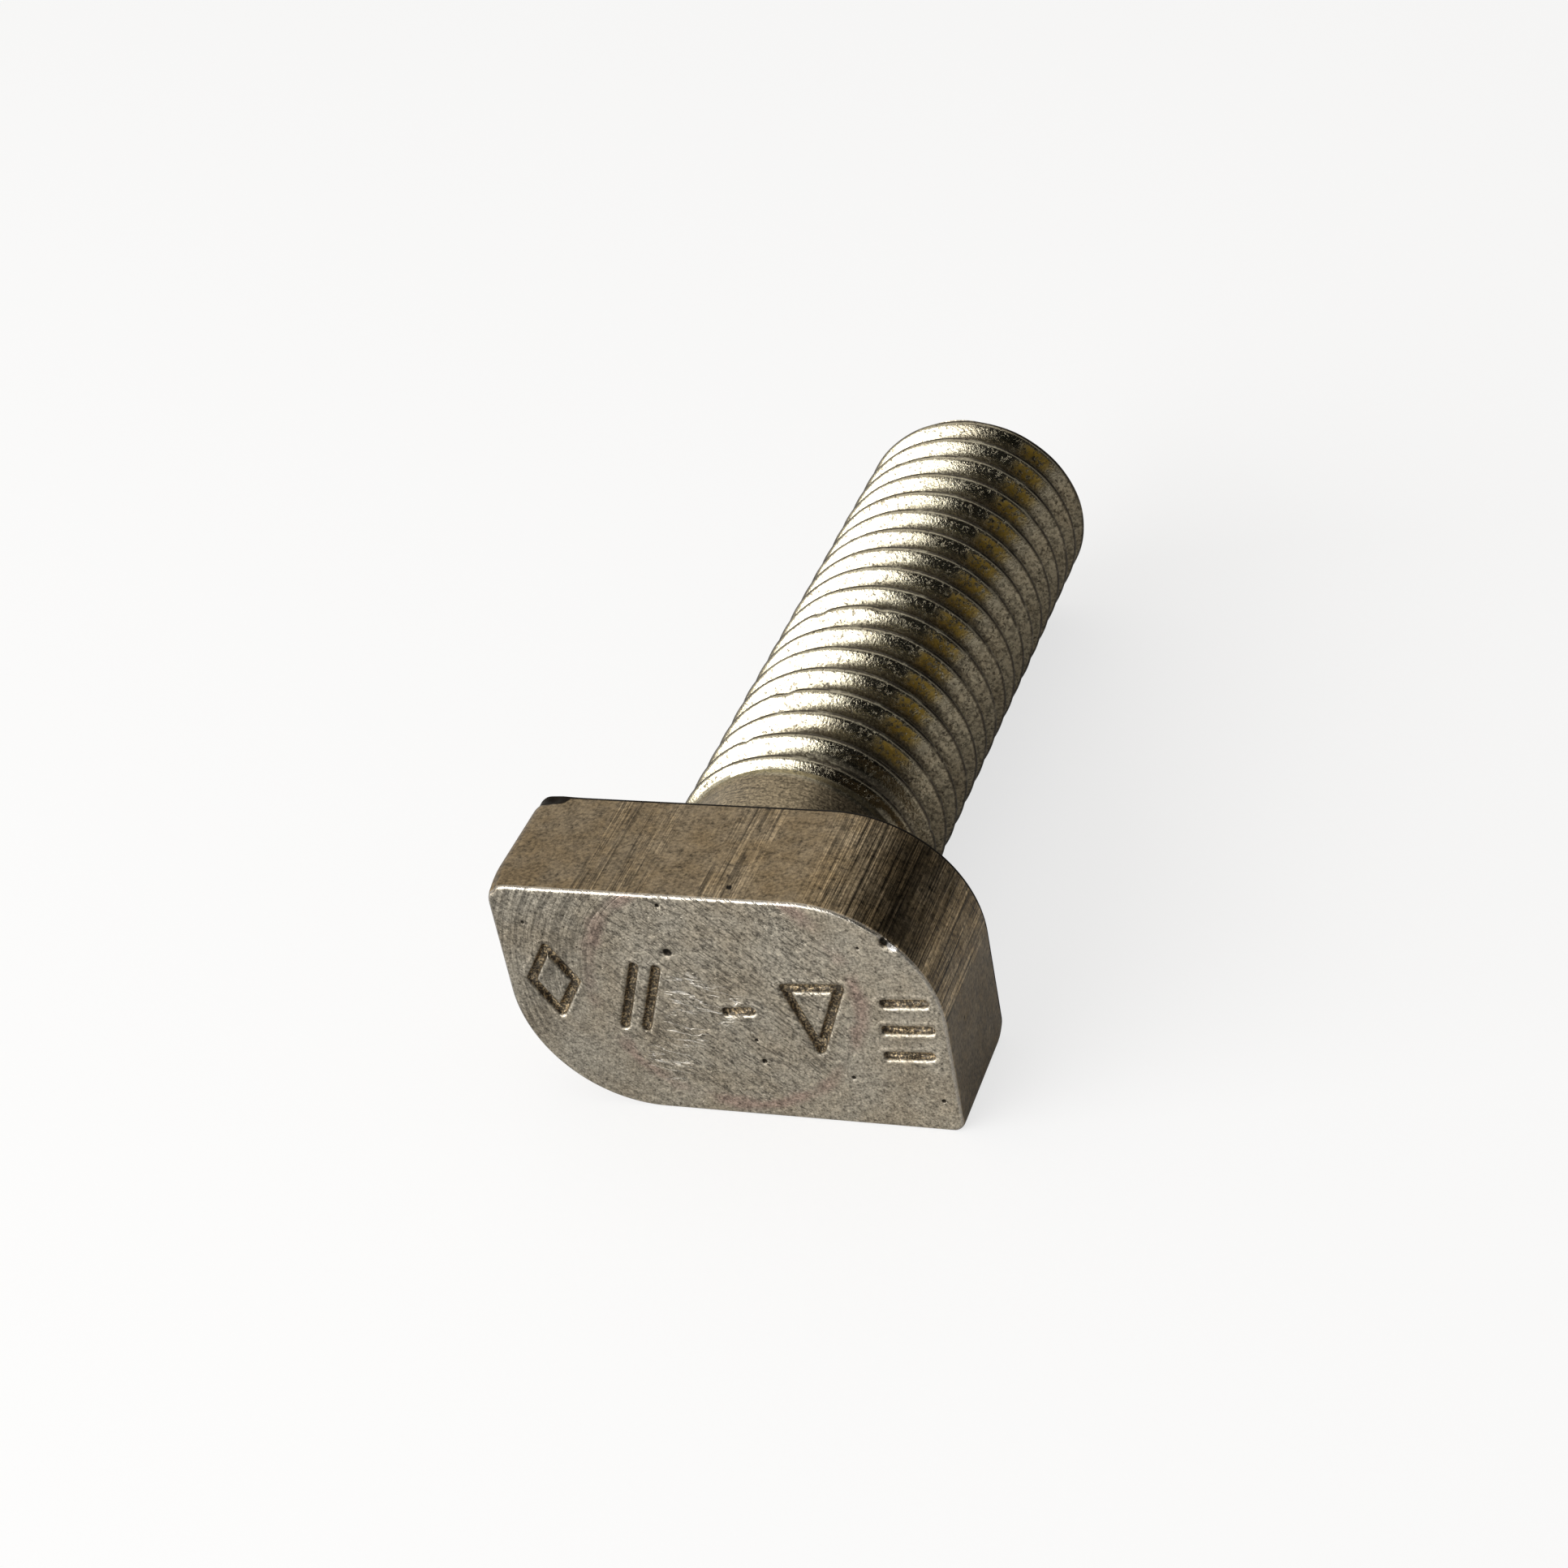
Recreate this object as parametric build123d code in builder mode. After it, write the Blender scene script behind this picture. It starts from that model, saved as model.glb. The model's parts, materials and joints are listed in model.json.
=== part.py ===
"""T slot bolt: a hammer head with two square and two round corners on a rolled M10 shank.

Millimetres. The origin is the centre of the head's bearing face, on the shank's axis.
+Y runs along the shank to its tip, X along the head's long side, and +Z is up as the bolt lies.
"""
from build123d import *
from math import ceil
import os

os.makedirs("parts", exist_ok=True)

# Thread, rolled at the slack end of its tolerance, with crest and root drawn sharp
pitch = 1.5
crest_diameter = 9.75
depth_per_pitch = 0.583
turns_inside_neck = 2
envelope_clearance = 0.15

# Shank
shank_length = 30.0
tip_chamfer = 0.5
neck_length = 2.65
neck_step = 0.375
neck_foot_chamfer = 0.25
first_ridge_overlap = 0.2
runout_overlap = 0.2
runout_length = 2.9
runout_clearance = 0.1

# Head, as wide as the shank and a little over, because both drop through the same slot
head_length = 16.8
head_overhang = 0.125
head_thickness = 5.65
turning_corner_radius = 5.15
stop_corner_radius = 0.4
outer_face_chamfer = 0.2
bearing_face_chamfer = 0.1

# Derived sizes
crest_radius = crest_diameter / 2
root_radius = crest_radius - depth_per_pitch * pitch
neck_radius = crest_radius - neck_step
head_width = crest_diameter + 2 * head_overhang
first_ridge_foot = neck_length - first_ridge_overlap
runout_start = neck_length + runout_overlap
runout_end = runout_start + runout_length
thread_start = neck_length - turns_inside_neck * pitch
thread_turns = ceil((shank_length - thread_start) / pitch)

# One turn of the thread, a flank up from the root to the crest and a flank back down
with BuildLine() as turn_edges:
    lower_root = Helix(pitch, pitch, root_radius, center=(0, thread_start, 0), direction=(0, 1, 0))
    crest = Helix(pitch, pitch, crest_radius, center=(0, thread_start + pitch / 2, 0), direction=(0, 1, 0))
    upper_root = Helix(pitch, pitch, root_radius, center=(0, thread_start + pitch, 0), direction=(0, 1, 0))
flanks = [Face.make_surface_from_curves(lower_root, crest), Face.make_surface_from_curves(crest, upper_root)]

# The screw's two closed ends, a spiral floor down to the axis and the flat step that ends it
axis_line = Line((0, thread_start, 0), (0, thread_start + pitch, 0), mode=Mode.PRIVATE)
spiral_floor = Face.make_surface_from_curves(axis_line.edge(), lower_root.edge())
step_corners = [axis_line @ 0, lower_root @ 0, crest @ 0, upper_root @ 0, axis_line @ 1]
first_end = [spiral_floor, Face(Wire.make_polygon(step_corners))]
last_end = [face.moved(Location((0, thread_turns * pitch, 0))) for face in first_end]
turns = [face.moved(Location((0, turn * pitch, 0))) for turn in range(thread_turns) for face in flanks]
screw = Solid(Shell([*first_end, *turns, *last_end]))

# The threaded length: the screw between a lead-in cone at the neck and a chamfered tip
with BuildPart() as threaded_rod:
    add(screw)
    with BuildSketch(Plane.XY) as rod_envelope:
        with BuildLine():
            Polyline(
                (0, first_ridge_foot - neck_step),
                (neck_radius - neck_step, first_ridge_foot - neck_step),
                (crest_radius + envelope_clearance, first_ridge_foot + neck_step + envelope_clearance),
                (crest_radius + envelope_clearance, shank_length - tip_chamfer - envelope_clearance),
                (crest_radius - tip_chamfer, shank_length),
                (0, shank_length),
                close=True,
            )
        make_face()
    revolve(axis=Axis.Y, mode=Mode.INTERSECT)

# The forging: head, neck and the core under the run-out, with the threaded length joined on
rising_diagonal = Axis((0, 0, 0), (1, 1, 0))
with BuildPart() as t_slot_bolt:
    with BuildSketch(Plane.XZ) as head_outline:
        Rectangle(head_length, head_width)
        fillet(head_outline.vertices().sort_by(rising_diagonal)[1:3], radius=stop_corner_radius)
        lower_left, *_, upper_right = head_outline.vertices().sort_by(rising_diagonal)
        fillet([lower_left, upper_right], radius=turning_corner_radius)
    extrude(amount=head_thickness)
    chamfer(faces().sort_by(Axis.Y)[0].edges(), length=outer_face_chamfer)
    chamfer(faces().sort_by(Axis.Y)[-1].edges(), length=bearing_face_chamfer)
    with BuildSketch(Plane.XY) as neck_profile:
        with BuildLine():
            Polyline(
                (0, -head_thickness / 2),
                (neck_radius, -head_thickness / 2),
                (neck_radius, runout_start),
                (root_radius - runout_clearance, runout_end),
                (0, runout_end),
                close=True,
            )
        make_face()
    revolve(axis=Axis.Y)
    bearing_face = faces().filter_by(Plane.XZ).sort_by_distance((head_length / 2, 0, 0))[0]
    chamfer(bearing_face.inner_wires()[0].edges(), length=neck_foot_chamfer)
    add(threaded_rod.part)

t_slot_bolt.part.label = "t_slot_bolt"
export_step(t_slot_bolt.part, "parts/t_slot_bolt.step")
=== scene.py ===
import json
import math

import bmesh
import bpy
import numpy as np
from bpy.props import FloatProperty, FloatVectorProperty, PointerProperty
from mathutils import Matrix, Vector
from mathutils.geometry import delaunay_2d_cdt


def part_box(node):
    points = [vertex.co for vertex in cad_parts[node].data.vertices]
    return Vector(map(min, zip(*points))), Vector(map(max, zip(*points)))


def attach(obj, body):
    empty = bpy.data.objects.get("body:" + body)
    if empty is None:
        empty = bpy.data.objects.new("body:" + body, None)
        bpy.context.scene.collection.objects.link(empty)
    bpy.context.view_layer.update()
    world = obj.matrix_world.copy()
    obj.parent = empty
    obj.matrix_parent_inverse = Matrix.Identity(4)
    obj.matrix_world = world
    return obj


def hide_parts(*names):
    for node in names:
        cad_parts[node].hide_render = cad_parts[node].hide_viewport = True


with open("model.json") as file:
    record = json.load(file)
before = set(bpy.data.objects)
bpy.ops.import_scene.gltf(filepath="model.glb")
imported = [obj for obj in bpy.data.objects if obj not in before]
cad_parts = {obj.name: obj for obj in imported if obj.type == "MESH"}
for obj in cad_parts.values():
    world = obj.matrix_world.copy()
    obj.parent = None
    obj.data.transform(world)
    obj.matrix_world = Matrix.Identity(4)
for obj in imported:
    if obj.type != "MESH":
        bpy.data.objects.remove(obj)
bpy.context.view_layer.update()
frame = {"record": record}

bl_info = {
    "name": "T Slot Bolt",
    "version": (1, 0, 0),
    "blender": (4, 5, 0),
    "location": "View3D > Sidebar > T Slot Bolt",
    "description": "Builds a T slot bolt in worn stainless steel and the small studio that it lies in",
    "category": "Add Mesh",
}

MM = 0.001
NODE = "t_slot_bolt"
low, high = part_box(NODE)
mounts = {mount["name"]: mount for mount in frame["record"]["mounts"]}
thread_dims = mounts["thread"]["dims"]


def size(name, description, default):
    """A size given in millimetres and kept in metres."""
    return FloatProperty(name=name, description=description, default=default * MM, min=0.0,
                         unit="LENGTH", subtype="DISTANCE", precision=5)


def colour(name, description, default):
    """A linear colour."""
    return FloatVectorProperty(name=name, description=description, default=default, size=3,
                               min=0.0, max=1.0, subtype="COLOR")


def share(name, description, default):
    """A number from nothing to all of something."""
    return FloatProperty(name=name, description=description, default=default, min=0.0, soft_max=1.0,
                         subtype="FACTOR")


class HeadSizes(bpy.types.PropertyGroup):
    """Sizes of the hammer head"""

    long_side: size("Long side", "Length of the head across the slot", (high.x - low.x) / MM)
    short_side: size("Short side", "Width of the head, which drops through the slot", (high.z - low.z) / MM)
    thickness: size("Thickness", "Thickness of the head", -low.y / MM)
    turning_corner: size("Turning corner", "Radius of the two round corners", 5.15)
    stop_corner: size("Stop corner", "Radius of the two square corners", 0.4)
    outer_edge: size("Outer edge", "Rounding of the edge round the outer face", 0.16)
    bearing_edge: size("Bearing edge", "Rounding of the edge round the bearing face", 0.1)
    punch_depth: size("Punch depth", "Depth of the punched marks", 0.20)
    punch_stroke: size("Punch stroke", "Half the width of a punched stroke at the face", 0.25)


class ShankSizes(bpy.types.PropertyGroup):
    """Sizes of the neck and the rolled thread"""

    tip: size("Tip", "Distance from the bearing face to the tip", high.y / MM)
    crest_radius: size("Crest radius", "Radius over the thread's crests", thread_dims["r_mm"])
    pitch: size("Pitch", "Distance from one turn of the thread to the next", 1.5)
    thread_depth: size("Thread depth", "Depth of the groove under the crest", 0.875)
    crest_flat: size("Crest flat", "Width of the flat on the crest", 0.14)
    crest_round: size("Crest rounding", "Reach of the rounding on both sides of the crest", 0.10)
    neck: size("Neck", "Length of the plain neck", high.y / MM - thread_dims["length_mm"])
    neck_step: size("Neck step", "Height of the crest over the neck", 0.375)
    first_ridge: size("First ridge", "Distance from the bearing face to the foot of the first ridge", 2.45)
    runout: size("Run-out", "Length over which the groove comes up to the neck", 2.9)
    tip_chamfer: size("Tip chamfer", "Chamfer round the tip", 0.5)


class SteelFinish(bpy.types.PropertyGroup):
    """Colours of the steel, and of the shade, gleam, glint and gold reflection painted on it"""

    face: colour("Outer face", "Grey of the outer face", (0.385, 0.350, 0.285))
    side: colour("Sides", "Brownish grey of the head's sides", (0.235, 0.172, 0.096))
    neck: colour("Neck", "Brownish grey of the neck", (0.34, 0.275, 0.18))
    thread: colour("Thread", "Grey of the rolled thread", (0.56, 0.515, 0.385))
    # Dark of grime in the specks, and of painted shade in the punched strokes, the thread's roots, the crest
    # fold and the neck's foot
    grime_and_shade: colour("Grime", "Dark of the pits and grooves", (0.045, 0.035, 0.025))
    # Black of the painted shade in the chips, dents and pits and along the back rim
    shadowed: colour("Broken", "Black of a broken corner and of the deepest pits", (0.012, 0.010, 0.008))
    # Painted reflection of a warm gold colour on the flanks
    painted_reflection: colour("Stain", "Golden stain on the flanks", (0.47, 0.31, 0.04))
    # Painted gleam in the punched strokes
    painted_gleam: colour("Bronze", "Warm gleam in the punched strokes", (0.62, 0.47, 0.27))
    burnish: colour("Burnish", "Bright metal on worn edges", (0.88, 0.84, 0.77))
    # Painted glint in the notch of the outer edge
    painted_glint: colour("Glint", "Brightest metal, in the notch of the outer edge", (1.0, 0.98, 0.95))
    blush: colour("Blush", "Brownish pink ring left on the face by forging", (0.33, 0.25, 0.205))


class StudioSettings(bpy.types.PropertyGroup):
    """Floor, lamps and camera"""

    floor: colour("Floor", "Colour of the floor as the steel mirrors it", (0.58, 0.58, 0.58))
    paper: colour("Paper", "Colour of the floor as the camera sees it", (0.98, 0.98, 0.98))
    window: colour("Window", "Colour of the light that the steel mirrors", (1.0, 0.97, 0.92))
    floor_lift: share("Floor lift", "Share of plain white that the camera sees on the floor", 0.72)
    key_power: FloatProperty(name="Key lamp", description="Power of the large lamp on the left", default=1.75,
                             min=0.0, unit="POWER")
    fill_power: FloatProperty(name="Fill lamp", description="Power of the soft lamp overhead", default=0.12,
                              min=0.0, unit="POWER")
    lens: FloatProperty(name="Lens", description="Focal length of the camera", default=73.059, min=1.0,
                        unit="CAMERA")


def millimetres(group):
    """The sizes of a group as plain numbers of millimetres."""
    return {name: getattr(group, name) / MM for name in group.__annotations__}


def ease(start, end, value):
    """Smooth step from 0 at start to 1 at end, for arrays."""
    t = np.clip((value - start) / (end - start), 0, 1)
    return t * t * (3 - 2 * t)


# Shape of the head, in millimetres, between its outer face, its top and its end

FACE_Y, TOP_Z, END_X = (round(place / MM, 3) for place in (low.y, high.z, high.x))
CHORD = 0.11
FACE_GRID = 0.17
PUNCH_GRID = 0.05
FACE_MARGIN = 0.6 * FACE_GRID
PUNCH_REACH = 2.2
PIT_REACH = 2.4
LIP_HEIGHT = 0.022
EDGE_ROWS = 6
ROW_GAP = 0.03
PLAIN_ROWS, PLAIN_ROWS_END = 17, -0.9
CLOSE_ROWS, CLOSE_ROWS_START = 10, -0.83
PUNCH_MARKS = (
    ((-7.45, 0.75), (-6.55, 2.25), (-5.65, 0.80), (-6.55, -0.70), (-7.45, 0.75)),
    ((-4.10, -1.10), (-3.20, 1.65)),
    ((-3.25, -1.15), (-2.35, 1.60)),
    ((0.08, -0.14), (1.03, -0.05)),
    ((2.50, 1.15), (4.60, 1.30), (3.45, -1.60), (2.50, 1.15)),
    ((6.20, 0.75), (7.70, 0.87)),
    ((6.10, -0.45), (7.75, -0.33)),
    ((6.00, -1.65), (7.60, -1.53)),
)
# Each pit has its X and Z, its depth and its radius
FACE_PITS = (
    (-1.73, 2.42, 0.10, 0.16),
    (1.15, -2.36, 0.09, 0.10),
    (7.80, -3.57, 0.05, 0.08),
    (-1.70, 4.55, 0.07, 0.08),
    (1.01, -1.38, 0.06, 0.07),
    (4.51, -2.79, 0.05, 0.08),
    (-7.20, 3.40, 0.04, 0.07),
    (5.60, 3.20, 0.05, 0.06),
    (6.62, 3.50, 0.17, 0.15),
)


def head_outline(head):
    """Points round the head, anticlockwise as seen along +Y with Z up, and the outward normal at each."""
    half_x, half_z = head["long_side"] / 2, head["short_side"] / 2
    corners = (
        (-1, -1, head["turning_corner"], 180),
        (1, -1, head["stop_corner"], 270),
        (1, 1, head["turning_corner"], 0),
        (-1, 1, head["stop_corner"], 90),
    )
    points, normals = [], []
    for sign_x, sign_z, radius, start in corners:
        centre = np.array((sign_x * (half_x - radius), sign_z * (half_z - radius)))
        steps = max(8, math.ceil(radius * math.pi / 2 / CHORD))
        for angle in np.radians(np.linspace(start, start + 90, steps + 1)):
            normals.append(np.array((math.cos(angle), math.sin(angle))))
            points.append(centre + radius * normals[-1])
    filled_points, filled_normals = [], []
    next_points, next_normals = points[1:] + points[:1], normals[1:] + normals[:1]
    for here, there, normal, next_normal in zip(points, next_points, normals, next_normals):
        steps = max(1, round(np.linalg.norm(there - here) / CHORD))
        straight = normal @ next_normal > 0.99999
        for step in range(steps if straight else 1):
            filled_points.append(here + (there - here) * step / steps)
            filled_normals.append(normal)
    return np.array(filled_points), np.array(filled_normals)


def inside_distance(head, points):
    """How far points of the head's plane lie inside its outline."""
    x, z = points[:, 0], points[:, 1]
    radius = np.where(x * z > 0, head["turning_corner"], head["stop_corner"])
    to_x = np.abs(x) - head["long_side"] / 2 + radius
    to_z = np.abs(z) - head["short_side"] / 2 + radius
    outside = np.hypot(np.maximum(to_x, 0), np.maximum(to_z, 0))
    return radius - outside - np.minimum(np.maximum(to_x, to_z), 0)


def stroke_distance(points):
    """Distance from points of the outer face to the nearest punched stroke."""
    nearest = np.full(len(points), 1e9)
    for line in PUNCH_MARKS:
        for a, b in zip(line, line[1:]):
            a, b = np.array(a), np.array(b)
            along = np.clip((points - a) @ (b - a) / ((b - a) @ (b - a)), 0, 1)
            nearest = np.minimum(nearest, np.linalg.norm(points - a - along[:, None] * (b - a), axis=1))
    return nearest


def face_relief(head, points):
    """Depth of the outer face under its plane: punched strokes with raised lips, and pits."""
    x, z = points[:, 0], points[:, 1]
    distance = stroke_distance(points)
    stroke = head["punch_stroke"]
    uneven_blow = 1 + 0.25 * np.sin(5 * x + 3 * z) * np.sin(4 * z - 2 * x)
    depth = head["punch_depth"] * uneven_blow * (1 - ease(0.35 * stroke, 0.9 * stroke, distance))
    depth -= LIP_HEIGHT * np.exp(-((distance - 1.3 * stroke) / (0.35 * stroke)) ** 2)
    for pit_x, pit_z, deep, radius in FACE_PITS:
        depth += deep * np.exp(-((x - pit_x) ** 2 + (z - pit_z) ** 2) / radius ** 2)
    return depth


def near_pits(points):
    """Which points of the outer face lie in a pit or beside one."""
    away = [np.hypot(*(points - (x, z)).T) / radius for x, z, _, radius in FACE_PITS]
    return np.min(away, axis=0) < PIT_REACH


def grid_points(head, spacing, margin):
    """A staggered grid of points inside the head's outline."""
    half_x, half_z = head["long_side"] / 2, head["short_side"] / 2
    rows = np.arange(-half_z, half_z, spacing * math.sqrt(3) / 2)
    columns = np.arange(-half_x, half_x, spacing)
    x, z = np.meshgrid(columns, rows)
    x = x + spacing / 2 * (np.arange(len(rows))[:, None] % 2)
    points = np.stack((x.ravel(), z.ravel()), axis=1)
    return points[inside_distance(head, points) > margin]


def face_points(head):
    """Points inside the outer face, close together at the punched strokes and the pits."""
    margin = head["outer_edge"] + FACE_MARGIN
    reach = PUNCH_REACH * head["punch_stroke"]
    coarse = grid_points(head, FACE_GRID, margin)
    coarse = coarse[(stroke_distance(coarse) >= reach + PUNCH_GRID) & ~near_pits(coarse)]
    fine = grid_points(head, PUNCH_GRID, margin)
    fine = fine[(stroke_distance(fine) < reach) | near_pits(fine)]
    return np.concatenate((coarse, fine))


def fill_loops(loops, inner):
    """Triangles between closed loops and through inner points, which keep the numbers they come with."""
    points = np.concatenate([*loops, inner])
    edges, start = [], 0
    for loop in loops:
        count = len(loop)
        edges += [(start + i, start + (i + 1) % count) for i in range(count)]
        start += count
    _, _, faces, sources, _, _ = delaunay_2d_cdt([Vector(p) for p in points], edges, [], 1, 1e-7, True)
    back = [source[0] for source in sources]
    return [tuple(back[i] for i in face) for face in faces]


class Shell:
    """Gathers the vertices and faces of one closed mesh, in millimetres, with a finish for each face."""

    def __init__(self):
        self.points = []
        self.count = 0
        self.faces = []
        self.finishes = []
        self.wear = []

    def add_points(self, points, wear=0.0):
        start = self.count
        self.points.append(np.asarray(points, float))
        self.wear.append(np.full(len(points), wear))
        self.count += len(points)
        return np.arange(start, self.count)

    def add_faces(self, faces, finish):
        for face in faces:
            kept = [v for i, v in enumerate(face) if v != face[i - 1]]
            if len(set(kept)) > 2:
                self.faces.append(kept)
                self.finishes.append(finish)

    def join_rings(self, first, second, finish):
        after_first, after_second = np.roll(first, -1), np.roll(second, -1)
        self.add_faces(np.stack((first, after_first, after_second, second), axis=1).tolist(), finish)


def in_space(plane_points, y):
    """Points of the head's plane at a height along the shank."""
    return np.stack((plane_points[:, 0], np.broadcast_to(y, len(plane_points)), plane_points[:, 1]), axis=1)


OUTER, SIDE, SHANK, END = range(4)


def build_head(shell, head):
    """Adds the head up to the rim of its bearing face, and returns that rim and its outline."""
    outline, normals = head_outline(head)
    bottom, edge, rim = -head["thickness"], head["outer_edge"], head["bearing_edge"]
    turn = np.radians(np.linspace(0, 90, EDGE_ROWS))
    rows = [(edge * (1 - math.sin(a)), bottom + edge * (1 - math.cos(a)), math.sin(2 * a)) for a in turn]
    rows += [(0.0, bottom + edge + ROW_GAP, 0.0)]
    rows += [(0.0, y, 0.0) for y in np.linspace(bottom + edge, PLAIN_ROWS_END, PLAIN_ROWS)[1:]]
    rows += [(0.0, y, 0.0) for y in np.linspace(CLOSE_ROWS_START, -rim - ROW_GAP, CLOSE_ROWS)]
    rows += [(rim * (1 - math.cos(a)), -rim + rim * math.sin(a), 0.0) for a in turn]
    rings = [shell.add_points(in_space(outline - normals * inset, y), wear) for inset, y, wear in rows]
    for number, (first, second) in enumerate(zip(rings, rings[1:])):
        shell.join_rings(first, second, SIDE if number >= EDGE_ROWS // 2 else OUTER)
    inner = face_points(head)
    inner_ids = shell.add_points(in_space(inner, bottom + face_relief(head, inner)))
    ids = np.concatenate((rings[0], inner_ids))
    triangles = fill_loops([outline - normals * edge], inner)
    shell.add_faces([tuple(ids[list(t)].tolist()) for t in triangles], OUTER)
    return rings[-1], outline - normals * rim


# Shape of the shank, in millimetres

COLUMNS = 160
FLANK_LEAN = 30
ROOT_ROUND = 0.12
LEAD_IN_SLOPE = 1.1
LEAD_IN_ROUND = 0.1
RUNOUT_START = 0.4
RUNOUT_ROUND = 0.15
CORE_UNDER_ROOT = 0.1
NECK_OVERLAP = 0.3
NECK_ROW_GAP = 0.3
NECK_ROWS_END = 0.5
END_MARGIN = 0.02
NECK_FOOT = ((0.25, 0.0), (0.24, 0.09), (0.20, 0.12), (0.10, 0.17), (0.03, 0.25), (0.0, 0.36))
END_RINGS = (0.94, 0.8, 0.6, 0.4, 0.2)
SLOW_WAVES = ((3, 0.9, 0), (7, -2.3, 1), (13, 3.7, 2))
WAVE_HEIGHT = 0.012
PROFILE_ROWS = (0.0, 0.08, 0.15, 0.27, 0.42, 0.53, 0.60, 0.67, 0.75, 0.83, 0.90, 0.97, 1.08, 1.23, 1.35, 1.42)
# Each nick has its angle from the top in degrees, its distance along the shank, its depth and its reach
CREST_NICKS = (
    (-20.1, 13.9, 0.10, 0.35),
    (-13.7, 7.93, 0.12, 0.40),
    (10.9, 14.06, 0.16, 0.28),
    (-22.3, 4.89, 0.10, 0.25),
    (-2.5, 2.95, 0.10, 0.22),
    (-3.7, 6.95, 0.14, 0.25),
    (-3.1, 5.46, 0.10, 0.25),
    (106.0, 18.06, 0.20, 0.40),
    (84.7, 5.37, 0.12, 0.30),
    (170.0, 9.60, 0.12, 0.40),
    (-120.0, 21.2, 0.10, 0.35),
    (-150.0, 12.8, 0.08, 0.30),
)


def soft_max(a, b, radius):
    """The larger of two, rounded off where they cross."""
    h = np.clip(0.5 + 0.5 * (a - b) / radius, 0, 1)
    return b + (a - b) * h + radius * h * (1 - h)


def shank_radius(shank, angle, y):
    """Radius of the shank at an angle from +X towards -Z and a distance along it."""
    crest, depth, pitch = shank["crest_radius"], shank["thread_depth"], shank["pitch"]
    slope = math.tan(math.radians(FLANK_LEAN))
    groove_start = shank["neck"] - 2 * pitch
    from_groove = (y - groove_start - pitch * (angle / (2 * math.pi) + 0.25)) / pitch
    offset = np.abs(from_groove - np.round(from_groove)) * pitch
    flank = crest - depth + (offset - (pitch - shank["crest_flat"]) / 2 + depth * slope) / slope
    thread = soft_max(flank, np.full_like(flank, crest - depth), ROOT_ROUND)
    thread = -soft_max(-thread, np.full_like(thread, -crest), shank["crest_round"])
    neck = crest - shank["neck_step"]
    lead_in = neck + LEAD_IN_SLOPE * (y - shank["first_ridge"])
    chamfer = crest - (y - (shank["tip"] - shank["tip_chamfer"]))
    fade = np.maximum(y - shank["first_ridge"] - RUNOUT_START, 0) / shank["runout"]
    core = neck - fade * (depth - shank["neck_step"] + CORE_UNDER_ROOT)
    thread = soft_max(thread, core, RUNOUT_ROUND)
    thread = -soft_max(-thread, -np.minimum(lead_in, chamfer), LEAD_IN_ROUND)
    return np.maximum(thread, np.where(fade > 0, 0, neck))


def uneven(angle, y):
    """A slow unevenness that rolling leaves, between -1 and 1."""
    return sum(np.sin(around * angle + along * y + start) for around, along, start in SLOW_WAVES) / 3


def shank_points(shank, angle, y, radius):
    """Points of the shank, with its crests knocked here and there."""
    crest = shank["crest_radius"]
    on_crest = ease(crest - 0.35, crest - 0.02, radius)
    radius = radius + WAVE_HEIGHT * uneven(angle, y) * on_crest * ease(shank["neck"], shank["neck"] + 1, y)
    for degrees, place, deep, reach in CREST_NICKS:
        across = crest * ((angle - math.radians(degrees - 90) + math.pi) % (2 * math.pi) - math.pi)
        radius = radius - deep * on_crest * np.exp(-(across ** 2 + (y - place) ** 2) / reach ** 2 * 2)
    return np.stack((radius * np.cos(angle), y, -radius * np.sin(angle)), axis=-1)


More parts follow.
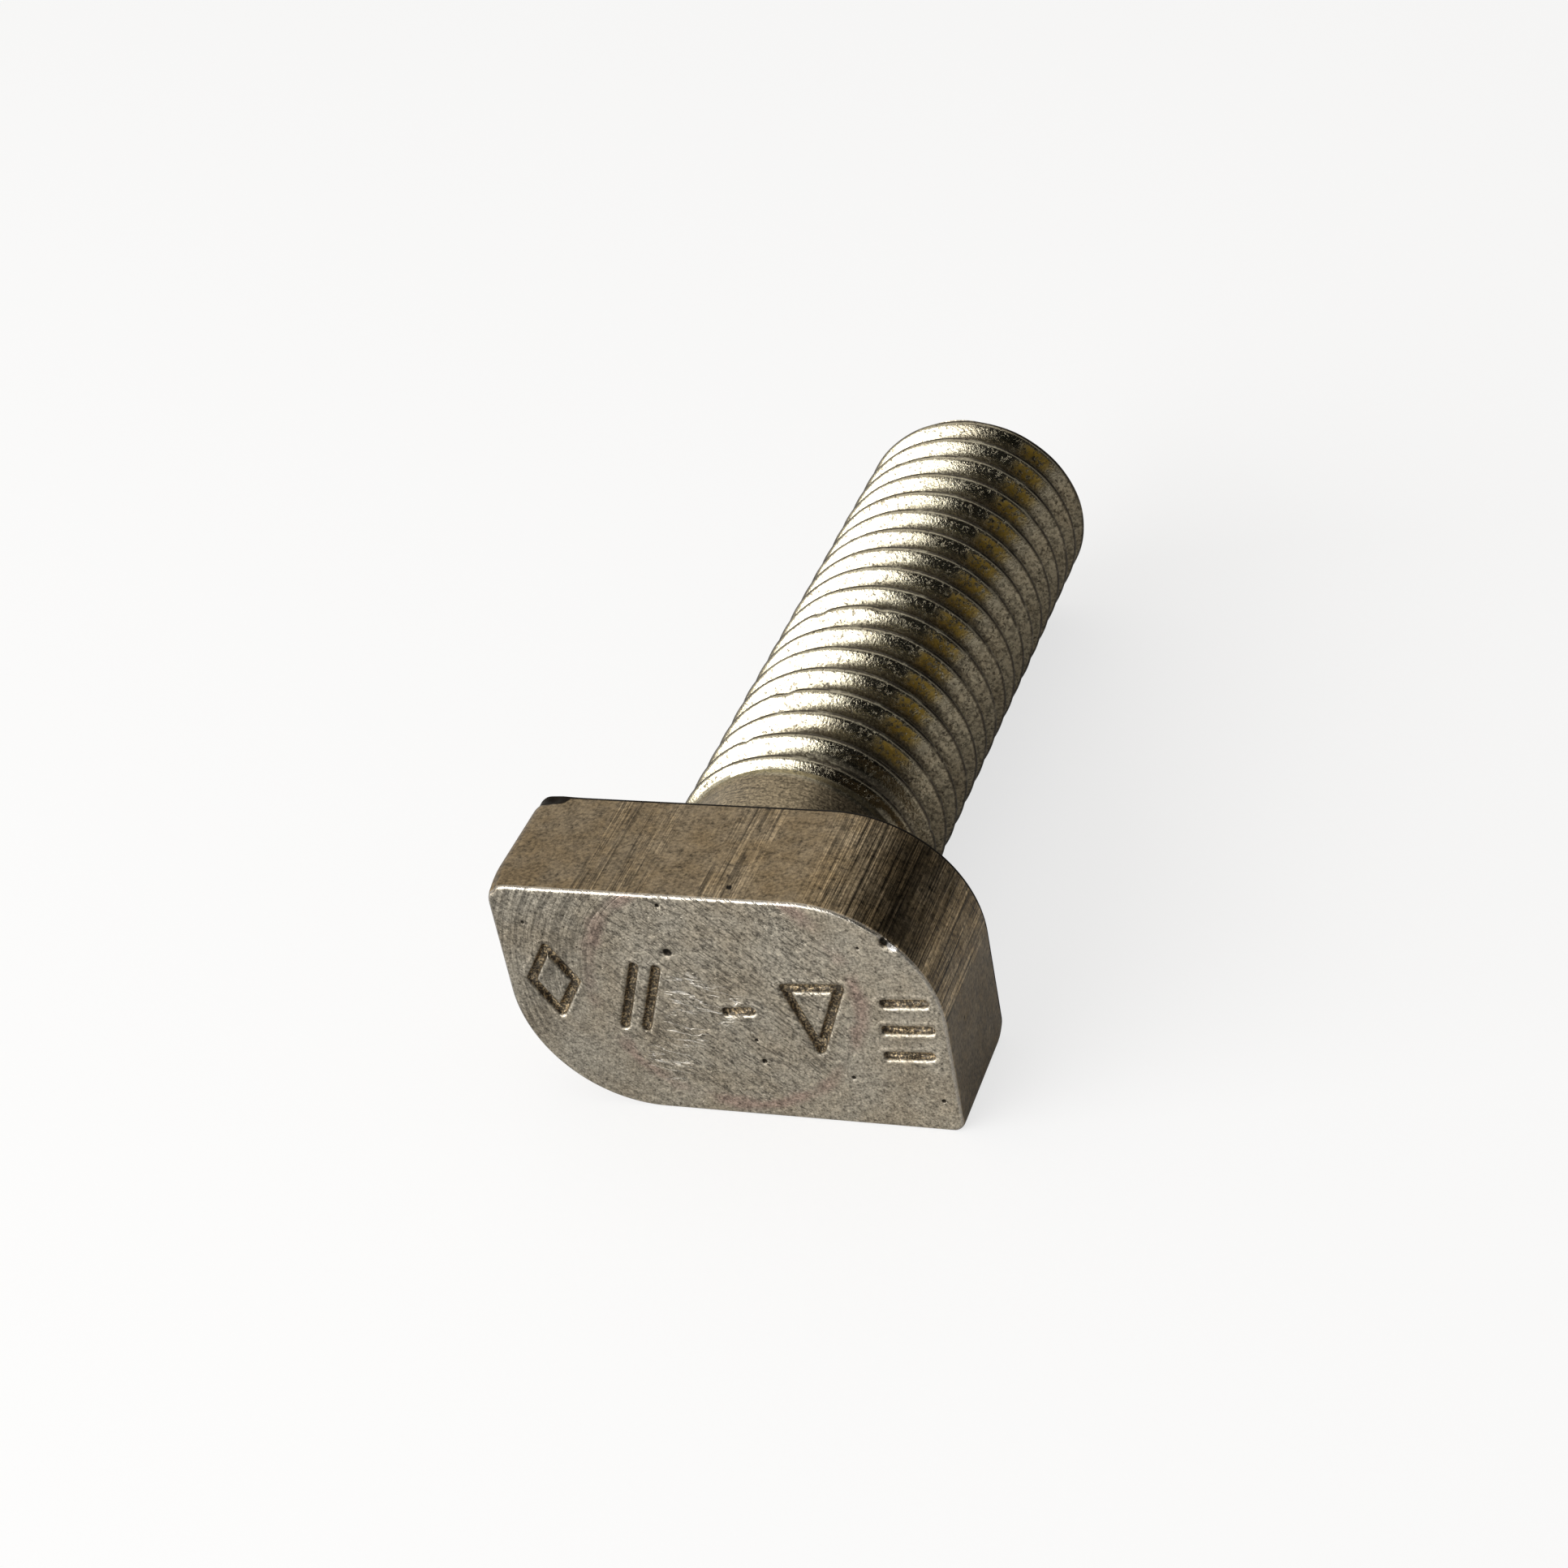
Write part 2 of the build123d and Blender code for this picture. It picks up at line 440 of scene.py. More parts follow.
def build_shank(shell, shank):
    """Adds the neck, the thread and the tip, and returns the neck's first ring."""
    angles = 2 * math.pi * np.arange(COLUMNS) / COLUMNS
    neck = shank["crest_radius"] - shank["neck_step"]
    start, end, pitch = shank["neck"] - NECK_OVERLAP, shank["tip"], shank["pitch"]
    rows = [(neck + out, y) for out, y in NECK_FOOT]
    rows += [(neck, y) for y in np.arange(2 * NECK_ROW_GAP, shank["neck"] - NECK_ROWS_END, NECK_ROW_GAP)]
    rings = []
    for radius, y in rows:
        points = np.stack((radius * np.cos(angles), np.full(COLUMNS, y), -radius * np.sin(angles)), axis=1)
        rings.append(shell.add_points(points))
    groove_start = shank["neck"] - 2 * pitch + 0.25 * pitch
    first_turn = math.floor((start - groove_start) / pitch) - 1
    last_turn = math.ceil((end - groove_start) / pitch) + 1
    turns = groove_start + pitch * np.arange(first_turn, last_turn)
    base = (turns[:, None] + PROFILE_ROWS).ravel()
    y = base[None, :] + pitch * np.arange(COLUMNS)[:, None] / COLUMNS
    inside = (y > start + END_MARGIN) & (y < end - END_MARGIN)
    grid = np.zeros(y.shape, int)
    angle_grid = np.broadcast_to(angles[:, None], y.shape)
    y_in, angle_in = y[inside], angle_grid[inside]
    grid[inside] = shell.add_points(shank_points(shank, angle_in, y_in, shank_radius(shank, angle_in, y_in)))
    ends = []
    for place, outside in ((start, y <= start + END_MARGIN), (end, y >= end - END_MARGIN)):
        level = np.full(COLUMNS, place)
        ring = shell.add_points(shank_points(shank, angles, level, shank_radius(shank, angles, level)))
        grid[outside] = np.broadcast_to(ring[:, None], y.shape)[outside]
        ends.append(ring)
    per_turn = len(PROFILE_ROWS)
    quads = np.stack((grid[:-1, :-1], grid[1:, :-1], grid[1:, 1:], grid[:-1, 1:]), axis=-1).reshape(-1, 4)
    seam_left, seam_right = grid[-1, :-per_turn], grid[0, per_turn:]
    seam = np.stack((seam_left[:-1], seam_right[:-1], seam_right[1:], seam_left[1:]), axis=-1)
    shell.add_faces(np.concatenate((quads, seam)).tolist(), SHANK)
    for first, second in zip(rings, rings[1:] + ends[:1]):
        shell.join_rings(first, second, SHANK)
    tip_ring = ends[1]
    tip_points = shell.points[-1]
    inner_ring = tip_ring
    for share_out in END_RINGS:
        ring = shell.add_points(tip_points * (share_out, 1, share_out))
        shell.join_rings(inner_ring, ring, END)
        inner_ring = ring
    centre = shell.add_points([(0, end, 0)])[0]
    pairs = zip(inner_ring.tolist(), np.roll(inner_ring, -1).tolist())
    shell.add_faces([(a, b, centre) for a, b in pairs], END)
    return rings[0]


# Painted shade along the back rim of the sides, next to the bearing face, and where it starts
BACK_RIM_SHADE, BACK_RIM_SHADE_START = 0.85, -0.13
PIT_DEPTH_LIMIT = 0.25
CHIP_REACH = 1.6
CHIP_ROUND = 0.22
BACK_EDGE_REACH = 0.1
# Each chip has its corner, its direction, its depth, its roughness and how much painted shade it gets
CHIPS = (
    ((-END_X, FACE_Y, TOP_Z), (-0.62, -0.35, 0.70), 0.42, 0.03, 0.2),
    ((END_X, 0.00, -TOP_Z), (0.62, 0.45, -0.64), 0.34, 0.02, 0.0),
    ((END_X, FACE_Y, -TOP_Z), (0.60, -0.60, -0.53), 0.12, 0.02, 0.3),
)
# Each dent has its place, its reach, its depth and how much painted shade it gets, and a depth under 0 is a
# burr
DENTS = (
    ((-8.30, -0.25, TOP_Z), 0.50, 0.16, 1.0),
    ((-7.95, -0.15, TOP_Z), 0.90, -0.03, 1.0),
    ((-7.70, -0.30, TOP_Z), 0.30, 0.10, 0.9),
    ((-7.50, -0.10, TOP_Z), 0.80, -0.02, 1.0),
    ((-END_X, -0.55, 4.80), 0.20, 0.08, 0.8),
    ((6.64, FACE_Y, 3.66), 0.24, 0.16, 0.8),
    ((6.90, FACE_Y, 3.42), 0.22, 0.14, 0.0),
    ((6.10, FACE_Y, 4.25), 0.18, 0.06, 0.5),
    ((-6.60, FACE_Y, TOP_Z), 0.20, 0.05, 0.2),
    ((-1.90, FACE_Y, TOP_Z), 0.15, 0.04, 0.3),
    ((-5.10, FACE_Y, -TOP_Z), 0.18, 0.05, 0.3),
    ((-7.10, FACE_Y, -3.60), 0.20, 0.07, 0.4),
    ((0.88, -4.91, TOP_Z), 0.13, 0.07, 1.0),
    ((END_X, -3.80, -1.20), 0.20, 0.05, 0.5),
)


def knock_head(head, points):
    """Chips the head's corners and dents its edges, and returns how much painted shade each point gets, in
    the chips, dents and pits and along the back rim.
    """
    half_x, half_z = head["long_side"] / 2, head["short_side"] / 2
    x, y, z = points.T
    on_face = y < -head["thickness"] + PIT_DEPTH_LIMIT
    chip_and_rim_shade = BACK_RIM_SHADE * (y > BACK_RIM_SHADE_START)
    for pit_x, pit_z, _, radius in FACE_PITS:
        squared = ((x - pit_x) ** 2 + (z - pit_z) ** 2) / radius ** 2
        chip_and_rim_shade = np.maximum(chip_and_rim_shade, np.exp(-squared / 1.5) * on_face)
    for corner, direction, depth, rough, shade_share in CHIPS:
        direction = np.array(direction) / np.linalg.norm(direction)
        rise = (points - corner) @ direction + depth
        wobble = rough * np.sin(9 * x + 5 * y) * np.sin(11 * z - 7 * y)
        rounded = soft_max(rise + wobble * (rise > 0), np.zeros(len(points)), CHIP_ROUND)
        cut = np.where(np.linalg.norm(points - corner, axis=1) < CHIP_REACH, rounded, 0)
        points -= cut[:, None] * direction
        chip_and_rim_shade = np.where(cut > 0, ease(0.0, 0.06, cut) * shade_share, chip_and_rim_shade)
    for place, reach, depth, shade_share in DENTS:
        outer = place[1] < -head["thickness"] / 2
        on_back_edge = not outer and abs(place[2]) >= half_z - BACK_EDGE_REACH
        inward = np.array((0 if on_back_edge else -place[0] / half_x, 0.9 * outer, -place[2] / half_z))
        inward /= np.linalg.norm(inward)
        push = np.exp(-2 * ((points - place) ** 2).sum(1) / reach ** 2)
        points += depth * push[:, None] * inward
        chip_and_rim_shade = np.maximum(chip_and_rim_shade, ease(0.2, 0.9, push) * shade_share)
    return chip_and_rim_shade


PLATE_GRID = 0.7
PLATE_MARGIN = 0.4


def bolt_mesh(head, shank):
    """The whole bolt as one closed mesh, in metres."""
    shell = Shell()
    rim, rim_outline = build_head(shell, head)
    shell.points = [np.concatenate(shell.points)]
    chip_and_rim_shade = knock_head(head, shell.points[0])
    neck_ring = build_shank(shell, shank)
    points = np.concatenate(shell.points)
    neck_outline = points[neck_ring][:, (0, 2)]
    plate = grid_points(head, PLATE_GRID, head["bearing_edge"] + PLATE_MARGIN)
    plate = plate[np.hypot(plate[:, 0], plate[:, 1]) > np.hypot(*neck_outline[0]) + PLATE_MARGIN]
    plate_ids = shell.add_points(in_space(plate, 0.0))
    ids = np.concatenate((rim, neck_ring, plate_ids))
    inside_neck = range(len(rim), len(rim) + len(neck_ring))
    triangles = fill_loops([rim_outline, neck_outline], plate)
    outside = [t for t in triangles if not all(v in inside_neck for v in t)]
    shell.add_faces([tuple(ids[list(t)].tolist()) for t in outside], SIDE)
    mesh = bpy.data.meshes.new("t_slot_bolt_forging")
    mesh.from_pydata(np.concatenate(shell.points) * MM, [], shell.faces)
    mesh.polygons.foreach_set("material_index", shell.finishes)
    wear = mesh.attributes.new("worn_edge", "FLOAT", "POINT")
    wear.data.foreach_set("value", np.concatenate(shell.wear).astype(np.float32))
    chipped = mesh.attributes.new("chip_shade_share", "FLOAT", "POINT")
    chipped.data.foreach_set("value", np.pad(chip_and_rim_shade, (0, shell.count - len(chip_and_rim_shade))).astype(np.float32))
    turn_outward(mesh)
    mesh.polygons.foreach_set("use_smooth", [True] * len(mesh.polygons))
    mesh.set_sharp_from_angle(angle=math.radians(50))
    mesh.validate()
    return mesh


def turn_outward(mesh):
    """Turns every face outward."""
    work = bmesh.new()
    work.from_mesh(mesh)
    bmesh.ops.recalc_face_normals(work, faces=work.faces)
    work.to_mesh(mesh)
    work.free()


# Finishes

# The Mix node's colour sockets go by number, because its sockets share their names
MIX_FIRST, MIX_SECOND, MIX_RESULT = 6, 7, 2


class Value:
    """A number inside a material, with arithmetic that adds Math nodes."""

    def __init__(self, nodes, socket):
        self.nodes = nodes
        self.socket = socket

    def output(self, name):
        """Another output of the node that this value comes from."""
        return Value(self.nodes, self.socket.node.outputs[name])

    def __add__(self, other):
        return self.nodes.math("ADD", self, other)

    def __sub__(self, other):
        return self.nodes.math("SUBTRACT", self, other)

    def __rsub__(self, other):
        return self.nodes.math("SUBTRACT", other, self)

    def __mul__(self, other):
        return self.nodes.math("MULTIPLY", self, other)

    __radd__ = __add__
    __rmul__ = __mul__

    def __truediv__(self, other):
        return self.nodes.math("DIVIDE", self, other)

    def __pow__(self, other):
        return self.nodes.math("POWER", self, other)

    def __abs__(self):
        return self.nodes.math("ABSOLUTE", self)


class Nodes:
    """Adds nodes to a shader tree."""

    def __init__(self, tree):
        self.tree = tree

    def add(self, kind, settings=None, inputs=None, output=0):
        """Adds one node, makes its settings, fills its inputs with values or links, and returns an output."""
        node = self.tree.nodes.new(kind)
        for name, value in (settings or {}).items():
            setattr(node, name, value)
        for name, value in (inputs or {}).items():
            socket = node.inputs[name]
            if isinstance(value, Value):
                self.tree.links.new(value.socket, socket)
            elif socket.type == "RGBA":
                socket.default_value = (*value, 1.0)
            else:
                socket.default_value = value
        return Value(self, node.outputs[output]) if len(node.outputs) else None

    def math(self, operation, *inputs):
        return self.add("ShaderNodeMath", {"operation": operation}, dict(enumerate(inputs)))

    def place_mm(self):
        """The place on the object in millimetres."""
        place = self.add("ShaderNodeTexCoord", output="Object")
        return self.add("ShaderNodeVectorMath", {"operation": "SCALE"}, {0: place, "Scale": 1 / MM})

    def split(self, place):
        """The X, Y and Z of a place."""
        x = self.add("ShaderNodeSeparateXYZ", {}, {"Vector": place}, "X")
        return x, x.output("Y"), x.output("Z")

    def from_spot(self, place, spot):
        """Distance of a place from a spot on the object, in millimetres."""
        return self.add("ShaderNodeVectorMath", {"operation": "DISTANCE"}, {0: place, 1: spot}, "Value")

    def towards(self, direction, aim):
        """How far a direction leans towards an aim."""
        return self.add("ShaderNodeVectorMath", {"operation": "DOT_PRODUCT"}, {0: direction, 1: aim}, "Value")

    def rays(self):
        """Whether a ray comes from the camera, from a gloss or through glass."""
        seen = self.add("ShaderNodeLightPath", output="Is Camera Ray")
        return seen, seen.output("Is Glossy Ray"), seen.output("Is Transmission Ray")

    def stretched(self, place, grain_mm, turn=0.0):
        """A place measured in grains of a size along each axis, turned in the head's plane by an angle."""
        return self.add("ShaderNodeMapping", {"vector_type": "TEXTURE"},
                        {"Vector": place, "Rotation": (0.0, math.radians(turn), 0.0), "Scale": grain_mm})

    def noise(self, place, scale, detail=3.0, roughness=0.55):
        return self.add("ShaderNodeTexNoise", {"noise_dimensions": "3D"},
                        {"Vector": place, "Scale": scale, "Detail": detail, "Roughness": roughness}, "Fac")

    def step(self, value, start, end, low_value=0.0, high_value=1.0):
        """A smooth step of a value."""
        return self.add("ShaderNodeMapRange", {"interpolation_type": "SMOOTHSTEP"},
                        {"Value": value, "From Min": start, "From Max": end,
                         "To Min": low_value, "To Max": high_value})

    def fall(self, value, start, end):
        """A smooth step down, from 1 to 0."""
        return self.step(value, start, end, 1.0, 0.0)

    def band(self, value, rise_start, rise_end, fall_start, fall_end):
        """1 between a smooth step up and a smooth step down, and 0 beyond them."""
        return self.step(value, rise_start, rise_end) * self.fall(value, fall_start, fall_end)

    def blend(self, factor, first, second):
        """A colour between two colours."""
        return self.add("ShaderNodeMix", {"data_type": "RGBA"},
                        {"Factor": factor, MIX_FIRST: first, MIX_SECOND: second}, MIX_RESULT)

    def shade(self, base, factor):
        """A colour times a grey."""
        grey = self.add("ShaderNodeCombineColor", {}, {"Red": factor, "Green": factor, "Blue": factor})
        return self.add("ShaderNodeMix", {"data_type": "RGBA", "blend_type": "MULTIPLY"},
                        {"Factor": 1.0, MIX_FIRST: base, MIX_SECOND: grey}, MIX_RESULT)

    def bump(self, height, distance_mm):
        """The normal over a relief of a height in millimetres."""
        return self.add("ShaderNodeBump", {}, {"Height": height, "Distance": distance_mm * MM})


def new_finish(name):
    """A bare material and its node adder."""
    material = bpy.data.materials.new(name)
    material.use_nodes = True
    material.node_tree.nodes.clear()
    return material, Nodes(material.node_tree)


def set_steel(nodes, base, roughness, normal, metallic=1.0):
    surface = nodes.add("ShaderNodeBsdfPrincipled", {},
                        {"Base Color": base, "Metallic": metallic, "Roughness": roughness, "Normal": normal})
    nodes.add("ShaderNodeOutputMaterial", {}, {"Surface": surface})


def worn_edges(nodes, place):
    """How far handling has brightened the head's edges."""
    worn = nodes.add("ShaderNodeAttribute", {"attribute_name": "worn_edge"}, {}, "Fac")
    return nodes.step(worn * (0.6 + nodes.noise(place, 2.5, 3.0) * 0.8), 0.35, 0.8)


def chip_shade(nodes, grain, start, end):
    """Painted shade in the chips, dents and pits and along the back rim, with a grainy edge."""
    chip_and_rim_shade = nodes.add("ShaderNodeAttribute", {"attribute_name": "chip_shade_share"}, {}, "Fac")
    return nodes.step(chip_and_rim_shade * (0.5 + grain), start, end)


SCRATCH_SPOTS = ((-1.3, FACE_Y, 0.7), (-0.1, FACE_Y, 0.1), (-1.6, FACE_Y, -1.1), (-2.6, FACE_Y, -2.7))
# Spot of the painted glint by the notch of the outer edge
NOTCH_PAINTED_GLINT = (6.93, FACE_Y + 0.05, 3.38)
RING_CENTRE = (0.1, 0.7)


def forged_ring(nodes, place, radius):
    """The blush ring that forging leaves on the face, and the share of the face that lies inside it."""
    edge = radius + (nodes.noise(place, 0.9, 2.0) - 0.5) * 0.7
    ring = nodes.band(edge, 4.75, 5.1, 5.2, 5.6) * nodes.step(nodes.noise(place, 0.4, 2.0), 0.38, 0.62)
    return ring, nodes.fall(edge, 4.6, 5.2)


def saw_arcs(nodes, x, z, radius):
    """Arcs that the saw leaves round the ring, deepest on the upper left."""
    around = nodes.add("ShaderNodeCombineXYZ", {}, {"X": radius * 7.0, "Y": x * 0.3, "Z": z * 0.3})
    upper_left = nodes.step(z * 0.64 - x * 0.77, 3.6, 5.4, 0.2, 1.0)
    return nodes.step(nodes.noise(around, 1.0, 2.0), 0.42, 0.60) * upper_left


def light_scratches(nodes, place):
    """Thin scratches that handling leaves in a few spots."""
    lines = nodes.noise(nodes.stretched(place, (1.6, 1.0, 0.30), 6), 1.0, 2.0)
    near = sum(nodes.fall(nodes.from_spot(place, spot), 0.6, 1.1) for spot in SCRATCH_SPOTS)
    return nodes.fall(abs(lines - 0.5), 0.006, 0.024) * near


def dark_specks(nodes, place):
    """Small dark pits, scattered in patches."""
    away = nodes.add("ShaderNodeTexVoronoi", {"feature": "F1"}, {"Vector": place, "Scale": 1.3}, "Distance")
    return nodes.fall(away, 0.035, 0.075) * nodes.step(nodes.noise(place, 1.9, 1.0), 0.55, 0.65)


def outer_face_finish(finish):
    """Cut and handled face with a blush ring, slanting pits, arcs of the saw and worn edges, painted shade
    and a painted gleam in the punched strokes, painted shade in the chips and pits, a painted glint by the
    notch, and painted light that grows towards +X.
    """
    material, nodes = new_finish("cut_face_steel")
    place = nodes.place_mm()
    x, y, z = nodes.split(place)
    from_x, from_z = x - RING_CENTRE[0], z - RING_CENTRE[1]
    radius = (from_x * from_x + from_z * from_z) ** 0.5
    grain = nodes.noise(place, 5.0, 5.0, 0.65)
    fine = nodes.noise(place, 11.0, 3.0, 0.7)
    cloud = nodes.noise(place, 0.55, 3.0)
    ring, inside = forged_ring(nodes, place, radius)
    arcs = saw_arcs(nodes, x, z, radius) * (1 - inside)
    slanted = nodes.noise(nodes.stretched(place, (0.55, 1.0, 0.10), 41), 1.0, 3.0, 0.6)
    gouges = nodes.step(slanted, 0.50, 0.66) * (0.25 + inside * 0.75)
    crossed = nodes.noise(nodes.stretched(place, (0.9, 1.0, 0.07), -18), 1.0, 3.0, 0.7)
    scratches = light_scratches(nodes, place)
    specks = dark_specks(nodes, place)
    depth = nodes.step(y, FACE_Y + 0.005, FACE_Y + 0.09)
    worn = worn_edges(nodes, place)
    base = nodes.blend(nodes.step(cloud, 0.3, 0.75) * 0.35, finish.face, finish.side)
    base = nodes.blend(ring * 0.9, base, finish.blush)
    base = nodes.shade(base, grain * 2.1 + fine * 2.9 - 1.5)
    base = nodes.shade(base, (1.15 - gouges * 0.58) - arcs * 0.46)
    # Painted light: the face is made slightly lighter towards +X and darker towards -X
    base = nodes.shade(base, (0.72 + crossed * 0.56) + x * 0.014)
    base = nodes.blend(scratches * 0.6, base, finish.burnish)
    # Painted shade in the punched strokes, and a painted gleam on part of their floor
    base = nodes.blend(depth * 0.85, base, finish.grime_and_shade)
    base = nodes.blend(depth * nodes.step(fine, 0.50, 0.60) * 0.60, base, finish.painted_gleam)
    base = nodes.blend(specks * 0.85, base, finish.grime_and_shade)
    base = nodes.blend(worn * 0.3, base, finish.burnish)
    # Painted shade in the chips, dents and pits
    base = nodes.blend(chip_shade(nodes, grain, 0.32, 0.62) * 0.95, base, finish.shadowed)
    # Painted glint by the notch of the outer edge
    base = nodes.blend(nodes.fall(nodes.from_spot(place, NOTCH_PAINTED_GLINT), 0.15, 0.26), base, finish.painted_glint)
    roughness = 0.42 + (grain - 0.5) * 0.22 - worn * 0.18 + gouges * 0.08 + depth * 0.12
    height = grain * 0.35 + fine * 0.15 + crossed * 0.25
    height = height - arcs * 0.5 - gouges * 1.5 - specks * 2.0 - scratches * 0.6
    set_steel(nodes, base, roughness, nodes.bump(height, 0.016))
    return material


SCORE_GROUPS = ((-5.0, -4.2), (-3.6, -2.4), (-0.2, 1.5))


def side_finish(finish):
    """Sheared side with groups of fine lines along the head's thickness, a broken corner, and painted shade
    in its chips and dents and along the back rim.
    """
    material, nodes = new_finish("sheared_side_steel")
    place = nodes.place_mm()
    x, y, z = nodes.split(place)
    grain = nodes.noise(place, 2.7, 5.0, 0.7)
    fine = nodes.noise(place, 7.0, 3.0, 0.7)
    cloud = nodes.noise(place, 0.7, 3.0)
    along_side = x * nodes.math("SIGN", z)
    corner = nodes.step(along_side, 2.6, 4.6)
    groups = corner
    for start, end in SCORE_GROUPS:
        groups = groups + nodes.band(along_side, start - 0.15, start, end, end + 0.3)
    groups = groups * nodes.step(nodes.noise(nodes.stretched(place, (0.6, 4.0, 0.6)), 1.0, 2.0), 0.30, 0.46)
    lines = nodes.noise(nodes.stretched(place, (0.08, 7.0, 0.08)), 1.0, 3.0, 0.75)
    scores = nodes.step(lines, 0.50, 0.60) * groups
    ridges = nodes.fall(lines, 0.38, 0.47) * groups
    worn = worn_edges(nodes, place)
    # Painted shade in the chips and dents and along the back rim
    chip_and_rim_shade = chip_shade(nodes, grain, 0.35, 0.58) * nodes.fall(y, -0.045, -0.015)
    base = nodes.blend(nodes.step(cloud, 0.3, 0.7) * 0.2, finish.side, finish.face)
    base = nodes.shade(base, grain * 2.3 + fine * 2.9 - 1.6)
    base = nodes.shade(base, 0.96 + along_side * 0.010)
    drawn = (0.72 + lines * 0.60) - scores * (0.66 + corner * 0.16) + ridges * (0.85 + corner * 0.40)
    base = nodes.shade(base, drawn)
    base = nodes.blend(worn * 0.3, base, finish.burnish)
    base = nodes.blend(chip_and_rim_shade * 0.97, base, finish.shadowed)
    roughness = 0.32 + (grain - 0.5) * 0.2 - worn * 0.12 + chip_and_rim_shade * 0.3
    height = grain * 0.4 + fine * 0.2 + lines * groups * 0.9
    set_steel(nodes, base, roughness, nodes.bump(height, 0.020))
    return material


def from_crest_middle(nodes, shank, x, y, z):
    """Distance along the shank from the middle of the nearest crest, in millimetres."""
    turn = nodes.math("ARCTAN2", z * -1.0, x) * (0.5 / math.pi)
    turns = (y - (shank["neck"] - 2 * shank["pitch"])) / shank["pitch"] - turn - 0.25
    return (nodes.math("FRACT", turns) - 0.5) * shank["pitch"]


def painted_gold_reflection(nodes, place, angle, radius, y):
    """Painted reflection of a warm gold colour, laid along the flanks on the shaded side."""
    on_flanks = nodes.band(radius, 4.15, 4.35, 4.70, 4.80) * nodes.step(y, 5.0, 6.5)
    patches = nodes.step(nodes.noise(place, 4.5, 5.0, 0.75), 0.37, 0.53)
    return nodes.band(angle, 0.56, 0.72, 0.88, 1.05) * on_flanks * patches


def shank_finish(finish, shank):
    """Rolled thread: grainy flanks, painted shade in the roots, along the crest fold, at the neck's foot, on
    the lower side and in a band on the upper +X side, and a painted golden reflection on the flanks.
    """
    material, nodes = new_finish("rolled_thread_steel")
    place = nodes.place_mm()
    x, y, z = nodes.split(place)
    radius = (x * x + z * z) ** 0.5
    angle = nodes.math("ARCTAN2", x, z)
    grain = nodes.noise(place, 6.0, 4.0, 0.7)
    fine = nodes.noise(place, 10.0, 2.0, 0.6)
    cloud = nodes.noise(place, 0.8, 3.0)
    threaded = nodes.step(y, 2.5, 2.9)
    plain = 1 - threaded
    # Painted shade in the thread's roots, where the groove is deep
    root = nodes.fall(radius + (fine - 0.5) * 0.4, 4.10, 4.50) * threaded
    # Painted shade towards the bottom of the thread, browner and mottled, where the steel is also made
    # rougher
    dull_and_lower_shade = nodes.fall(z + (cloud - 0.5) * 3.0, 1.6, 3.4) * threaded
    # The fold along the middle of the crests, with painted shade laid along it
    from_fold = abs(from_crest_middle(nodes, shank, x, y, z) - 0.01)
    fold_and_shade = nodes.fall(from_fold - dull_and_lower_shade * 0.03, 0.050, 0.110) * nodes.step(radius, 4.60, 4.72) * threaded
    fold_and_shade = fold_and_shade * nodes.step(nodes.noise(place, 1.6, 3.0), 0.30, 0.50, 0.45, 1.0)
    # Painted reflection of a warm gold colour on the flanks, which also lowers the metallic
    painted_reflection = painted_gold_reflection(nodes, place, angle, radius, y)
    specks = nodes.step(nodes.noise(place, 5.5, 4.0, 0.75), 0.57, 0.64) * threaded
    streaks = nodes.noise(nodes.stretched(place, (1.2, 0.10, 1.2)), 1.0, 3.0, 0.7)
    # Painted shade in a band on the upper +X side of the thread, strongest near the neck
    dark_band_shade = nodes.band(angle, 0.25, 0.55, 0.95, 1.30) * nodes.step(y, 3.5, 7.0, 1.0, 0.35) * threaded
    base = nodes.blend(nodes.step(cloud, 0.35, 0.7) * 0.3, finish.thread, finish.side)
    base = nodes.blend(threaded, finish.neck, base)
    base = nodes.shade(base, 0.05 + grain * 0.85 + fine * 1.05)
    base = nodes.blend(dull_and_lower_shade * 0.5, base, finish.side)
    base = nodes.shade(base, (1.0 + dull_and_lower_shade * 0.28) - dull_and_lower_shade * nodes.step(grain, 0.42, 0.60) * 0.75)
    base = nodes.shade(base, 1.0 - plain * nodes.step(streaks, 0.48, 0.66) * 0.45)
    base = nodes.shade(base, 1.0 + plain * (grain * 1.6 + fine * 1.8 - 1.7))
    base = nodes.shade(base, 1.0 - dark_band_shade * 0.45)
    # Painted shade at the neck's foot, next to the bearing face
    base = nodes.blend(nodes.fall(y, 0.22, 0.45) * 0.85, base, finish.grime_and_shade)
    base = nodes.blend(painted_reflection * 0.92, base, finish.painted_reflection)
    base = nodes.blend(root * 0.85, base, finish.grime_and_shade)
    base = nodes.blend(specks * 0.7, base, finish.grime_and_shade)
    base = nodes.blend(fold_and_shade * 0.9, base, finish.grime_and_shade)
    roughness = 0.15 + (grain - 0.5) * 0.16 + root * 0.2 + plain * 0.18 + dull_and_lower_shade * 0.10
    height = grain * 0.45 + fine * 0.9 - specks * 0.5 - fold_and_shade * 1.5
    set_steel(nodes, base, roughness, nodes.bump(height, 0.012), 1.0 - painted_reflection * 0.5)
    return material


